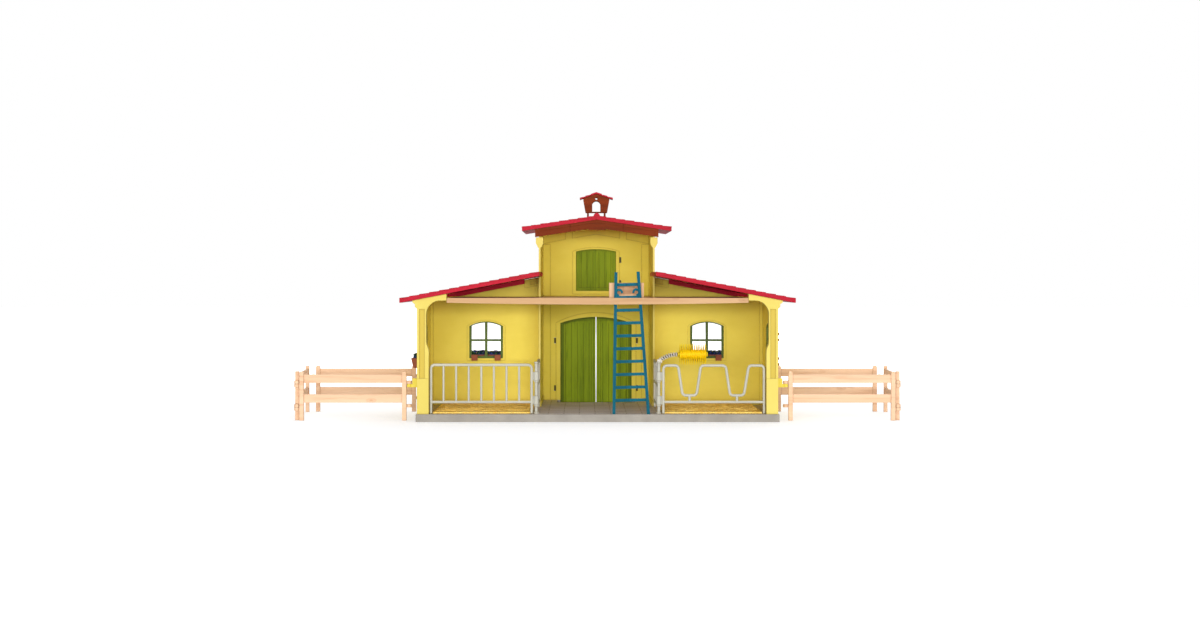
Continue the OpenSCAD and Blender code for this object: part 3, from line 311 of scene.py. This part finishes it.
def ground(name):
    """The base: a warm grey rim, worn paving in the passage and trodden earth in the stalls."""
    s = Shade(name, 0.62)
    rim = s.tones(s.span(s.noise(40, 5), 0.35, 0.7), *BASE_RIM)
    paving = s.node("ShaderNodeTexBrick", {
        "Vector": s.stretch((1, 1, 1), (0.003, 0.004, 0)), "Scale": 1.0, "Mortar Size": 0.0007,
        "Brick Width": 0.041, "Row Height": 0.0125, "Bias": 0.0,
        "Color1": rgb(*PAVING[0]), "Color2": rgb(*PAVING[1]), "Mortar": rgb(*MORTAR),
    }, offset=0.5)
    streak = s.span(s.noise(200, 5, stretch=(0.1, 1, 1), distort=0.6), 0.48, 0.7)
    floor = s.mix(s.times(streak, 0.32), paving.outputs["Color"], rgb(*PAVING_STREAK))
    worn = s.span(s.noise(34, 4), 0.4, 0.7)
    floor = s.mix(s.times(worn, 0.3), floor, rgb(*PAVING_WORN))
    normal = s.node("ShaderNodeNewGeometry").outputs["Normal"]
    up = s.node("ShaderNodeSeparateXYZ", {0: normal}).outputs["Z"]
    top = s.times(s.math("GREATER_THAN", s.axis("Z"), BASE_TOP * MM),
                  s.math("GREATER_THAN", s.axis("Y"), BASE_FRONT * MM),
                  s.math("GREATER_THAN", up, 0.3))
    colour = s.mix(top, rim, floor)
    stall = s.math("GREATER_THAN", s.math("ABSOLUTE", s.axis("X")), STALL_X * MM)
    colour = s.mix(s.times(stall, s.times(top, 0.75)), colour, rgb(*EARTH))
    joints = s.times(paving.outputs["Fac"], s.times(top, 1.4))
    return s.finish(colour, s.math("SUBTRACT", s.noise(260, 4), joints), 0.0004, 0.6, 0.0007)


def neck(name):
    """Grey ribs on a flexible core, which is dark with painted shade between the ribs: the core is
    what lies close to the neck's curved centre line. The axle at its end is yellow."""
    s = Shade(name, 0.42)
    dx, dy, dz = (s.math("SUBTRACT", s.axis(a), c * MM) for a, c in zip("XYZ", NECK_CENTRE))
    off = s.math("SUBTRACT", s.length(dx, dz), NECK_ARC * MM)
    # Painted shade: the core between the ribs is dark.
    core = s.times(s.math("LESS_THAN", s.length(off, dy), NECK_CORE * MM),
                   s.math("GREATER_THAN", s.axis("X"), NECK_START * MM))
    rib = s.tones(s.span(s.noise(60, 3), 0.35, 0.65), *NECK_RIB)
    colour = s.mix(core, rib, rgb(*NECK_GAP_SHADE))
    axle = s.math("GREATER_THAN", s.axis("X"), NECK_AXLE * MM)
    colour = s.mix(axle, colour, rgb(*AXLE))
    return s.finish(colour, s.noise(700, 2), 0.00012, 0.35, 0.0003)


def straw(name, low, high, dark):
    """Straw: every stalk its own tone, with drifts of painted shade between."""
    s = Shade(name, 0.6)
    tone = s.math("ADD", s.times(s.island(), 0.8), s.times(s.noise(120, 3), 0.3))
    colour = s.tones(s.span(tone, 0.1, 1.0), low, high)
    # Painted shade in drifts between the stalks.
    gap_shade = s.span(s.noise(380, 4, stretch=(1, 0.25, 1), distort=1.2), 0.5, 0.68)
    colour = s.mix(s.times(gap_shade, 0.3), colour, rgb(*dark))
    height = s.noise(500, 4, stretch=(1, 0.2, 1))
    return s.finish(colour, height, 0.0004, 0.6, crevice=0.35, reach=0.0012)


def living(name, low, high):
    """Leaves, petals and bristles: a tone for each, with a faint grain."""
    s = Shade(name, 0.5)
    tone = s.math("ADD", s.times(s.island(), 0.7), s.times(s.noise(260, 3), 0.4))
    return s.finish(s.tones(s.span(tone, 0.15, 0.95), low, high), s.noise(600, 3), 0.0002, 0.4)


def bedding(name):
    """The mounds under the blossoms: dark green, turning dark blue in drifts."""
    s = Shade(name, 0.55)
    green = s.tones(s.span(s.noise(300, 3), 0.35, 0.65), *BED_GREEN)
    blue = s.tones(s.span(s.noise(420, 3), 0.35, 0.65), *BED_BLUE)
    drift = s.span(s.noise(170, 3), 0.44, 0.52)
    return s.finish(s.mix(drift, green, blue), s.noise(520, 4), 0.0008, 0.9, crevice=0.6)


def beams(name, low, high, dark):
    """Dark stained beams, with fibres that run across the barn."""
    s = Shade(name, 0.55, specular=0.1)
    fibre = s.noise(210, 5, stretch=(0.06, 1, 1), distort=0.7)
    colour = s.tones(s.span(s.noise(40, 3, stretch=(0.1, 1, 1)), 0.35, 0.68), low, high)
    line = s.span(fibre, 0.5, 0.7)
    colour = s.mix(s.times(line, 0.5), colour, rgb(*dark))
    return s.finish(colour, s.math("SUBTRACT", 1.0, line), 0.0003, 0.55, 0.0004)


def all_materials():
    return {
        "wall": wall("wall_yellow", *WALL),
        "post": wall("post_yellow", *WALL, front=POST_BACK, panels=True),
        "bay": wall("bay_yellow", *BAY_WALL, front=BAY_FRONT, crevice=0.65),
        "ground": ground("base_grey"),
        "straw": straw("straw", *STRAW),
        "window": wood("window_green", *WINDOW, "Z", knots=False, mark=0.4),
        "door": planks("door_green", *DOOR, LEAF_ARCH),
        "loft_door": planks("hay_door_green", *DOOR),
        "fence_x": wood("peach_wood_x", *PEACH, "X"),
        "fence_y": wood("peach_wood_y", *PEACH, "Y"),
        "loft": wood("loft_wood", *LOFT_SHADED_PEACH, "X"),
        "crate": wood("crate_wood", *CRATE_SHADED_PEACH, "Z"),
        "planter_x": wood("planter_brown", *PLANTER, "X", knots=False),
        "planter_y": wood("planter_brown_y", *PLANTER, "Y", knots=False),
        "roof": tiled("roof_red", *ROOF),
        "truss": beams("truss_brown", *TRUSS),
        "gate": plastic("gate_grey", *GATE, 0.42),
        "neck": neck("neck_grey"),
        "bolt": plastic("hinge_dark", *HINGE_SLOT_SHADE, 0.5),
        "brush": plastic("brush_yellow", *BRUSH, 0.4),
        "ladder": wood("ladder_blue", *LADDER, "Z", knots=False, specular=0.08),
        "leaf": living("leaf_green", *LEAF),
        "petal": living("petal_blue", *PETAL),
        "eye": living("flower_eye", *EYE),
        "bedding": bedding("flower_bed"),
        "bristle": living("bristle_yellow", *BRISTLE),
    }


# ---------- Mesh helpers ----------

def mesh_piece(name, verts, faces, material, body, slot, smooth=True):
    """A visible piece that rides on a body of the CAD."""
    me = bpy.data.meshes.new(name)
    me.from_pydata(verts, [], faces)
    me.validate()
    me.materials.append(material)
    me.polygons.foreach_set("use_smooth", [smooth] * len(me.polygons))
    ob = bpy.data.objects.new(name, me)
    bpy.context.scene.collection.objects.link(ob)
    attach(ob, body)
    return ob


def strip(faces, first, rows, cols, closed=False, turned=False, mirrored=False):
    """Quads over rows of cols points each, numbered from first. Closed joins each row's ends,
    turned and mirrored each turn the quads over."""
    for r in range(rows - 1):
        for c in range(cols if closed else cols - 1):
            a, b = first + r * cols + c, first + r * cols + (c + 1) % cols
            quad = (a, a + cols, b + cols, b) if turned else (a, b, b + cols, a + cols)
            faces.append(quad[::-1] if mirrored else quad)


def cap(faces, corners, mirrored=False):
    """One face over corners."""
    corners = tuple(corners)
    faces.append(corners[::-1] if mirrored else corners)


def spike(verts, faces, root, tip, r0, r1, turn, sides=3):
    """A tapered stalk from root to tip."""
    way = (tip - root).normalized()
    side = way.orthogonal().normalized()
    first = len(verts)
    for at, r in ((root, r0), (tip, r1)):
        for k in range(sides):
            a = turn + 2 * math.pi * k / sides
            verts.append(at + Matrix.Rotation(a, 3, way) @ side * r)
    strip(faces, first, 2, sides, closed=True)
    cap(faces, range(first + sides, first + 2 * sides))
    cap(faces, range(first, first + sides), mirrored=True)


# ---------- Pieces of the barn ----------

def tile_rows(name, side, seed, material, x0, x1, y0, y1, rows, top, fall):
    """Rows of crowned tiles with rounded lower ends, laid on the stepped slope of a roof that
    falls from height top over x0 to x1. Millimetres."""
    step, pitch, narrowest = 0.9, 11.2, 0.3
    crown, skirt, droop, tuck = 0.42, 0.35, 0.16, 0.45
    along = (0.02, 0.5, 0.9, 1.0)
    across = (-1, -0.86, -0.5, 0, 0.5, 0.86, 1)
    rnd = random.Random(seed)
    verts, faces = [], []
    run = (x1 - x0) / rows
    count = max(3, round((y1 - y0) / pitch))
    wide = (y1 - y0) / count
    for i in range(rows):
        shift = 0.5 * wide if i % 2 else 0.0
        for j in range(count + i % 2):
            a, b = max(y0 + j * wide - shift, y0), min(y0 + (j + 1) * wide - shift, y1)
            if b - a < narrowest * wide:
                continue
            lift, long, lean = rnd.uniform(0, 0.14), rnd.uniform(-0.15, 0.3), rnd.uniform(-0.1, 0.1)
            first, nose = len(verts), 0.75 + long
            for t in along:
                for u in across:
                    x = x0 + run * (i + t)
                    z = top - fall * run * (i + t) - step * (1 - t)
                    z += 0.02 + lift + lean * u + (crown * (1 - u * u) if abs(u) < 1 else -skirt)
                    if t == 1.0:
                        x += nose * (1 - u * u) - 0.15
                        z -= droop
                    y = (a + b) / 2 + u * (b - a) / 2 * 0.985
                    verts.append(Vector((side * x, y, z)) * MM)
            for u in across:
                x = x0 + run * (i + 1) + nose * (1 - u * u) - tuck
                z = top - fall * run * (i + 1) - step - 0.1
                y = (a + b) / 2 + u * (b - a) / 2 * 0.985
                verts.append(Vector((side * x, y, z)) * MM)
            strip(faces, first, len(along) + 1, len(across), turned=True, mirrored=side < 0)
    mesh_piece(name, verts, faces, material, "barn", "roof_red")


def strands(name, lo, hi, count, material, seed):
    """Loose straw laid flat over a box's top, kept inside its outline. Millimetres."""
    shortest, longest, radius, lowest, highest, steepest = 7, 19, 0.3, 0.05, 1.2, 0.9
    points_each = 6
    rnd = random.Random(seed)
    verts, faces = [], []
    while len(verts) < count * points_each:
        size, way = rnd.uniform(shortest, longest) / 2, rnd.uniform(0, math.pi)
        x, y = rnd.uniform(lo[0], hi[0]), rnd.uniform(lo[1], hi[1])
        dx, dy = size * math.cos(way), size * math.sin(way)
        inside_x = lo[0] < x - abs(dx) and x + abs(dx) < hi[0]
        if not (inside_x and lo[1] < y - abs(dy) and y + abs(dy) < hi[1]):
            continue
        z, tilt = hi[2] + rnd.uniform(lowest, highest), rnd.uniform(-steepest, steepest)
        spike(verts, faces, Vector((x - dx, y - dy, max(z - tilt, hi[2] + 0.1))) * MM,
              Vector((x + dx, y + dy, max(z + tilt, hi[2] + 0.1))) * MM,
              radius * MM, radius * 0.6 * MM, rnd.uniform(0, 2))
    mesh_piece(name, verts, faces, material, "barn", "straw", smooth=False)


def bristles(name, material):
    """The roller: a ribbed sleeve with rings of tapered bristles that lean a little, in the CAD
    sleeve's own box."""
    rings, each, segments = 15, 30, 40
    end_r, sleeve_r, rib_r, root_r = 0.0051, 0.0060, 0.0072, 0.0066
    ring_half, rib_half, end_gap = 0.0009, 0.0005, 0.0002
    rnd = random.Random(41)
    lo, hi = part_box("brush_bristles")
    mid = (lo + hi) / 2
    reach = (hi.z - lo.z) / 2 - 0.0003
    x0, x1 = lo.x + ring_half, hi.x - ring_half
    end0, end1 = lo.x + end_gap, hi.x - end_gap
    verts, faces = [], []
    profile = [(end0, end_r)]
    for i in range(rings):
        x = x0 + (x1 - x0) * i / (rings - 1)
        profile += [(x - ring_half, sleeve_r), (x - rib_half, rib_r),
                    (x + rib_half, rib_r), (x + ring_half, sleeve_r)]
    profile += [(end1, end_r)]
    for x, r in profile:
        for k in range(segments):
            a = 2 * math.pi * k / segments
            verts.append(Vector((min(max(x, end0), end1),
                                 mid.y + math.cos(a) * r, mid.z + math.sin(a) * r)))
    strip(faces, 0, len(profile), segments, closed=True)
    for i in range(rings):
        for k in range(each):
            a = 2 * math.pi * (k + 0.5 * (i % 2)) / each + rnd.uniform(-0.03, 0.03)
            x = x0 + (x1 - x0) * i / (rings - 1) + rnd.uniform(-0.0001, 0.0001)
            b, xt = a + rnd.uniform(-0.04, 0.04), x + rnd.uniform(-0.00025, 0.00025)
            tip = reach * rnd.uniform(0.95, 1.0)
            x, xt = (min(max(v, x0), x1) for v in (x, xt))
            root_at = mid + Vector((x - mid.x, math.cos(a) * root_r, math.sin(a) * root_r))
            tip_at = mid + Vector((xt - mid.x, math.cos(b) * tip, math.sin(b) * tip))
            spike(verts, faces, root_at, tip_at, 0.00036, 0.0002, a, 4)
    ob = mesh_piece(name, verts, faces, material, "brush", "brush_yellow", smooth=False)
    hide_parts("brush_bristles")


def hinge_bolts(material):
    """Hinge ends that show in the slots beside the doors: a bevelled plate with a domed head, in a
    dark colour that is painted shade in the slots. Millimetres."""
    wide, high, segments = 2.6, 8.0, 12
    plate = ((130.2, 1.0), (128.5, 1.0), (128.1, 0.82))  # y and share of the full width
    head = ((128.2, 0.95), (127.85, 0.85), (127.65, 0.5), (127.6, 0.05))  # y and radius
    verts, faces = [], []

    def bolt(x, z):
        first = len(verts)
        for y, s in plate:
            tall = 1 - (1 - s) * 0.4
            for u, v in ((-1, -1), (1, -1), (1, 1), (-1, 1)):
                verts.append(Vector((x + u * wide / 2 * s, y, z + v * high / 2 * tall)) * MM)
        strip(faces, first, len(plate), 4, closed=True)
        cap(faces, range(first + 8, first + 12))
        cap(faces, range(first, first + 4), mirrored=True)
        first = len(verts)
        for y, r in head:
            for k in range(segments):
                a = 2 * math.pi * k / segments
                verts.append(Vector((x + r * math.cos(a), y, z + r * math.sin(a))) * MM)
        strip(faces, first, len(head), segments, closed=True, turned=True)

    for z in DOOR_HINGES_Z:
        for side in (-1, 1):
            bolt(side * DOOR_HINGE_X, z)
    for z in LOFT_HINGES_Z:
        bolt(LOFT_HINGE_X, z)
    mesh_piece("hinge_bolts", verts, faces, material, "barn", "door_green", smooth=False)


def ramp_cheeks(material):
    """The doorway's surround goes on down into the sunk ramp, in front of the leaves.
    Millimetres."""
    foot, top = 1.3, 9.9
    outline = ((51.95, 126.6), (55.95, 126.6), (55.95, 128.15), (51.95, 128.15))
    verts, faces = [], []
    for side in (-1, 1):
        first = len(verts)
        for z in (foot, top):
            for x, y in outline:
                verts.append(Vector((side * x, y, z)) * MM)
        strip(faces, first, 2, 4, closed=True, mirrored=side < 0)
        cap(faces, range(first + 4, first + 8), mirrored=side < 0)
        cap(faces, range(first, first + 4), mirrored=side > 0)
    mesh_piece("ramp_cheeks", verts, faces, material, "barn", "base_grey", smooth=False)


def purlin_ends(material):
    """The purlins run on to the posts and thin out on the way. Millimetres."""
    front, back = 10, 15
    sections = ((187.9, 6.0), (204.0, 4.0), (218.0, 1.2))  # x and depth
    verts, faces = [], []
    for side in (-1, 1):
        first = len(verts)
        for x, depth in sections:
            z = WING_SLOPE["top"] - WING_SLOPE["fall"] * (x - WING_SLOPE["x0"]) - ROOF_THICK
            for y in (front, back):
                verts += [Vector((side * x, y, v)) * MM for v in (z + 0.1, z - depth)]
        for a in (first, first + 4):
            for quad in ((a, a + 1, a + 5, a + 4), (a + 2, a + 6, a + 7, a + 3),
                         (a + 1, a + 3, a + 7, a + 5), (a, a + 4, a + 6, a + 2)):
                cap(faces, quad, mirrored=side < 0)
        for quad in ((0, 2, 3, 1), (8, 9, 11, 10)):
            cap(faces, (first + k for k in quad), mirrored=side < 0)
    mesh_piece("purlin_ends", verts, faces, material, "barn", "roof_red", smooth=False)


def closing_beads(material):
    """A rounded bead down the closing edge of each leaf, so that only a narrow line of light is
    left. Millimetres."""
    outline = ((1.5, 131.3), (0.75, 130.9), (0.55, 130.1), (0.75, 129.3), (1.5, 128.9))
    levels = ((1.8, 0.3), (2.2, 0.0), (131.0, 0.0), (131.4, 0.3))  # z and inset
    for tag, side in SIDES:
        verts, faces = [], []
        for z, inset in levels:
            verts += [Vector((side * (x + inset), y, z)) * MM for x, y in outline]
        strip(faces, 0, len(levels), len(outline), mirrored=side < 0)
        mesh_piece(f"closing_bead_{tag}", verts, faces, material, f"door_{tag}", "door_green")


def planting(node, green, blue, eye, seed):
    """Leaves and five-petalled blossoms that grow out of a flower row's mounds."""
    leaves, blossoms, petals = 150, 46, 5
    inset, fold, eye_sides = 0.0008, 0.00025, 6
    outline = ((0.0, 0.2), (0.35, 1.0), (0.7, 0.85), (1.0, 0.08))  # place along a blade and width
    rnd = random.Random(seed)
    lo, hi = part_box(node)
    body = BODY_OF[node]
    mound = BVHTree.FromObject(NODES[node], bpy.context.evaluated_depsgraph_get())
    leaf_mesh, petal_mesh, eye_mesh = ([], []), ([], []), ([], [])

    def blade(verts, faces, at, way, lean, wide, long, curl):
        side = way.cross(lean).normalized()
        first = len(verts)
        for t, w in outline:
            mid = at + way * long * t + lean * (long * 0.35 * t - curl * t * t)
            for s in (-1, 0, 1):
                verts.append(mid + side * s * wide * w * 0.5 - lean * (fold if s == 0 else 0))
        strip(faces, first, len(outline), 3)

    def spot():
        """A place on the mounds, and the way that things grow there."""
        while True:
            x, y = rnd.uniform(lo.x + inset, hi.x - inset), rnd.uniform(lo.y + inset, hi.y - inset)
            hit, normal, _, _ = mound.ray_cast(Vector((x, y, hi.z + 0.01)), Vector((0, 0, -1)))
            if hit:
                return hit, (normal + Vector((0, 0, 0.5))).normalized()

    def heading(turn, lean):
        return Matrix.Rotation(turn, 3, lean) @ lean.orthogonal().normalized()

    for _ in range(leaves):
        at, lean = spot()
        way = heading(rnd.uniform(0, 2 * math.pi), lean)
        wide, long = rnd.uniform(0.0014, 0.0021), rnd.uniform(0.0026, 0.0038)
        blade(*leaf_mesh, at - lean * 0.0003, way, lean, wide, long, 0.0007)
    for _ in range(blossoms):
        at, lean = spot()
        turn, size = rnd.uniform(0, 6), rnd.uniform(0.0017, 0.0023)
        at = at + lean * 0.0004
        for k in range(petals):
            way = heading(turn + 2 * math.pi * k / petals, lean)
            blade(*petal_mesh, at, way, lean, 0.0017, size, 0.0001)
        spike(*eye_mesh, at - lean * 0.0002, at + lean * 0.0008, 0.0005, 0.0003, 0, eye_sides)
    for kind, mesh, material in (("leaves", leaf_mesh, green), ("petals", petal_mesh, blue),
                                 ("eyes", eye_mesh, eye)):
        mesh_piece(f"{node}_{kind}", *mesh, material, body, "flowers")


# ---------- Camera and stage ----------

def camera():
    """The photograph's view: level along +Y, with a shifted lens."""
    data = bpy.data.cameras.new("camera")
    data.sensor_width, data.lens = 36, 48.5
    data.shift_x, data.shift_y = 0.0142, -0.0275
    data.clip_start, data.clip_end = 0.05, 60
    cam = bpy.data.objects.new("camera", data)
    bpy.context.scene.collection.objects.link(cam)
    cam.location = (-0.019, -2.230, 0.182)
    cam.rotation_euler = (math.radians(90), 0, 0)
    bpy.context.scene.camera = cam


def bare_tree(holder):
    """The node tree of a material or world, emptied."""
    holder.use_nodes = True
    holder.node_tree.nodes.clear()
    return holder.node_tree


def white_floor():
    """A wide floor that keeps the shadow and glows for the camera, up to white far out."""
    cells, half, drop = 24, 9.0, 0.0002
    row = cells + 1
    ticks = [half * (i / cells - 0.5) * 2 for i in range(row)]
    faces = []
    strip(faces, 0, row, row)
    me = bpy.data.meshes.new("floor")
    me.from_pydata([(x, y, 0) for y in ticks for x in ticks], [], faces)
    floor = bpy.data.objects.new("floor", me)
    bpy.context.scene.collection.objects.link(floor)
    floor.location.z = -drop
    material = bpy.data.materials.new("floor_white")
    tree = bare_tree(material)
    at = add_node(tree, "ShaderNodeTexCoord").outputs["Object"]
    far = add_node(tree, "ShaderNodeVectorMath", {0: at}, operation="LENGTH").outputs["Value"]
    ramp = {0: far, 1: 0.35, 2: 1.1, 3: 0.45, 4: 1.0}
    strength = add_node(tree, "ShaderNodeMapRange", ramp).outputs[0]
    diffuse = add_node(tree, "ShaderNodeBsdfDiffuse", {0: (0.80, 0.81, 0.83, 1)}).outputs[0]
    glow = add_node(tree, "ShaderNodeEmission", {0: (1, 1, 1, 1), 1: strength}).outputs[0]
    lit = add_node(tree, "ShaderNodeAddShader", {0: diffuse, 1: glow}).outputs[0]
    seen = add_node(tree, "ShaderNodeLightPath").outputs["Is Camera Ray"]
    look = add_node(tree, "ShaderNodeMixShader", {0: seen, 1: diffuse, 2: lit}).outputs[0]
    add_node(tree, "ShaderNodeOutputMaterial", {0: look})
    me.materials.append(material)


def studio_world():
    """Soft light on the object, and plain white for the camera, mirrors and glass."""
    world = bpy.data.worlds.new("studio")
    bpy.context.scene.world = world
    tree = bare_tree(world)
    soft = add_node(tree, "ShaderNodeBackground", {0: (0.97, 0.985, 1, 1), 1: 0.36}).outputs[0]
    white = add_node(tree, "ShaderNodeBackground", {0: (1, 1, 1, 1), 1: 1.0}).outputs[0]
    path = add_node(tree, "ShaderNodeLightPath")
    seen = path.outputs["Is Camera Ray"]
    for kind in ("Is Glossy Ray", "Is Transmission Ray"):
        seen = add_node(tree, "ShaderNodeMath", {0: seen, 1: path.outputs[kind]},
                        operation="ADD", use_clamp=True).outputs[0]
    look = add_node(tree, "ShaderNodeMixShader", {0: seen, 1: soft, 2: white}).outputs[0]
    add_node(tree, "ShaderNodeOutputWorld", {0: look})


def lamps():
    for name, (at, aim, size, watts, colour) in LAMPS.items():
        data = bpy.data.lights.new(name, "AREA")
        data.shape, data.size, data.size_y = "RECTANGLE", size[0], size[1]
        data.energy, data.color = watts, colour
        ob = bpy.data.objects.new(name, data)
        bpy.context.scene.collection.objects.link(ob)
        ob.location = at
        ob.rotation_euler = (Vector(aim) - Vector(at)).to_track_quat("-Z", "Y").to_euler()
        ob.visible_camera = False


# ---------- The barn ----------

def dress_cad(materials):
    """Gives every CAD node its material."""
    looks = {
        "base_plate": "ground", "bay_shell": "bay", "loft_floor": "loft", "hay_crate": "crate",
        "tower_roof": "roof", "gable_truss": "truss", "birdhouse": "truss",
        "birdhouse_roof": "roof", "loft_door": "loft_door", "ladder": "ladder",
        "brush_arm": "neck", "brush_core": "brush", "brush_bristles": "bristle",
        "gate_left": "gate", "gate_right": "gate", "tack_hooks": "planter_y",
        "planter_side": "planter_y", "flowers_side": "bedding",
    }
    both_sides = {
        "straw_mat": "straw", "side_wall": "post", "wing_wall": "wall", "window": "window",
        "window_side": "window", "planter": "planter_x", "flowers": "bedding", "wing_roof": "roof",
        "partition": "gate", "barn_door": "door", "fence_front": "fence_x", "fence_back": "fence_x",
        "fence_end": "fence_y",
    }
    for tag, _ in SIDES:
        looks.update({f"{name}_{tag}": look for name, look in both_sides.items()})
    for name, ob in NODES.items():
        ob.data.materials.clear()
        ob.data.materials.append(materials[looks[name]])


def main():
    camera()
    white_floor()
    studio_world()
    lamps()
    bpy.context.scene.view_settings.view_transform = "Standard"
    m = all_materials()
    dress_cad(m)
    for tag, side in SIDES:
        tile_rows(f"tiles_wing_{tag}", side, 11 + side, m["roof"], **WING_SLOPE)
        tile_rows(f"tiles_tower_{tag}", side, 21 + side, m["roof"], **TOWER_SLOPE)
        lo, hi = (v * 1000 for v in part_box(f"straw_mat_{tag}"))
        strands(f"straw_loose_{tag}", Vector((lo.x + 1, lo.y + 12, hi.z)),
                Vector((hi.x - 1, hi.y - 1, hi.z)), 1500, m["straw"], 31 + side)
    bristles("bristle_rings", m["bristle"])
    hinge_bolts(m["bolt"])
    closing_beads(m["door"])
    ramp_cheeks(m["ground"])
    purlin_ends(m["roof"])
    for seed, name in ((51, "flowers_left"), (52, "flowers_right"), (53, "flowers_side")):
        planting(name, m["leaf"], m["petal"], m["eye"], seed)


main()
